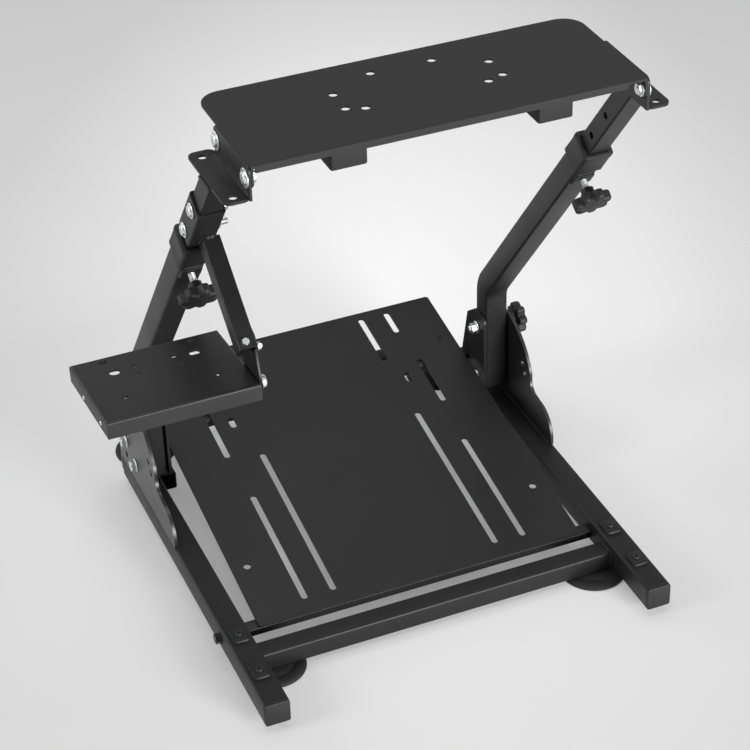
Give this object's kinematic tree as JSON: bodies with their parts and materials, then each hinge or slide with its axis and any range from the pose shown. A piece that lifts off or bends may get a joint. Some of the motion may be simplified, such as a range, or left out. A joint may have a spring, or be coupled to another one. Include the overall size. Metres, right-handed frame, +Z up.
{
  "type": "racing wheel stand",
  "caption": "Folding floor stand in black square tube with a wheel plate, a sloping pedal plate and a shifter plate on height-adjustable leaning uprights.",
  "frame": {"origin": "on the floor midway between the rails, under the middle of the base", "axes": "+X to the right of the driver, +Y away from the driver, +Z up"},
  "size_m": [0.6603, 0.6067, 0.6859],
  "materials": {
    "black_powder_coat": "satin, finely textured powder coat",
    "black_plastic": "moulded, matte",
    "black_rubber": "moulded rubber",
    "zinc_plated_steel": "bright zinc plating",
    "black_oxide_steel": "blackened steel"
  },
  "bodies": {
    "root": {"rail_left": "black_powder_coat", "rail_right": "black_powder_coat", "foot_front_left": "black_rubber", "foot_front_right": "black_rubber", "foot_rear_left": "black_rubber", "foot_rear_right": "black_rubber", "rear_arm_left": "black_powder_coat", "rear_arm_right": "black_powder_coat", "gusset_left": "black_powder_coat", "gusset_right": "black_powder_coat", "ear_left": "black_powder_coat", "ear_right": "black_powder_coat", "rail_caps_front": "black_plastic", "rail_caps_rear": "black_plastic", "rail_pads": "black_powder_coat", "pad_screws": "zinc_plated_steel", "pivot_bolts": "zinc_plated_steel", "lock_nuts": "zinc_plated_steel", "pedal_pivots": "black_oxide_steel", "pedal_bolts": "zinc_plated_steel", "front_beam": "black_powder_coat", "rear_beam": "black_powder_coat"},
    "pedals": {"pedal_plate": "black_powder_coat", "pedal_tube_front": "black_powder_coat", "pedal_tube_rear": "black_powder_coat"},
    "uprights": {"upright_outer_left": "black_powder_coat", "upright_outer_right": "black_powder_coat", "collar_left": "black_plastic", "collar_right": "black_plastic", "knob_bosses": "black_powder_coat"},
    "head": {"upright_inner_left": "black_powder_coat", "upright_inner_right": "black_powder_coat", "head_bracket_left": "black_powder_coat", "head_bracket_right": "black_powder_coat", "head_bolts": "zinc_plated_steel", "wheel_plate": "black_powder_coat", "stop_blocks": "black_rubber", "shifter_sleeve": "black_powder_coat", "sleeve_bolts": "zinc_plated_steel", "shifter_arm": "black_powder_coat", "shifter_tab": "black_powder_coat", "shifter_plate": "black_powder_coat"},
    "height_knob_left": {"height_knob_left": "black_plastic", "height_screw_left": "zinc_plated_steel"},
    "height_knob_right": {"height_knob_right": "black_plastic", "height_screw_right": "zinc_plated_steel"},
    "fold_knob_left": {"fold_knob_left": "black_plastic", "fold_stud_left": "zinc_plated_steel"},
    "fold_knob_right": {"fold_knob_right": "black_plastic", "fold_stud_right": "zinc_plated_steel"}
  },
  "joints": [
    {"name": "pedal_tilt", "type": "hinge", "parent": "root", "child": "pedals", "pos_m": [0, -0.1278, 0.0238], "axis": [1, 0, 0], "range_deg": [-3.8, 0]},
    {"name": "upright_fold", "type": "hinge", "parent": "root", "child": "uprights", "pos_m": [0, 0.171, 0.07], "axis": [1, 0, 0], "range_deg": [0, 47]},
    {"name": "head_height", "type": "slide", "parent": "uprights", "child": "head", "axis": [0, -0.617, 0.7869], "range_m": [0, 0.1]},
    {"name": "height_knob_turn_left", "type": "hinge", "parent": "uprights", "child": "height_knob_left", "pos_m": [-0.2335, -0.05303, 0.4896], "axis": [0, -0.7869, -0.617], "range_deg": [0, 360]},
    {"name": "fold_knob_turn_left", "type": "hinge", "parent": "root", "child": "fold_knob_left", "pos_m": [-0.2635, 0.171, 0.145], "axis": [-1, 0, 0], "range_deg": [0, 360]},
    {"name": "height_knob_turn_right", "type": "hinge", "parent": "uprights", "child": "height_knob_right", "pos_m": [0.2335, -0.05303, 0.4896], "axis": [0, -0.7869, -0.617], "range_deg": [0, 360]},
    {"name": "fold_knob_turn_right", "type": "hinge", "parent": "root", "child": "fold_knob_right", "pos_m": [0.2635, 0.171, 0.145], "axis": [1, 0, 0], "range_deg": [0, 360]}
  ]
}
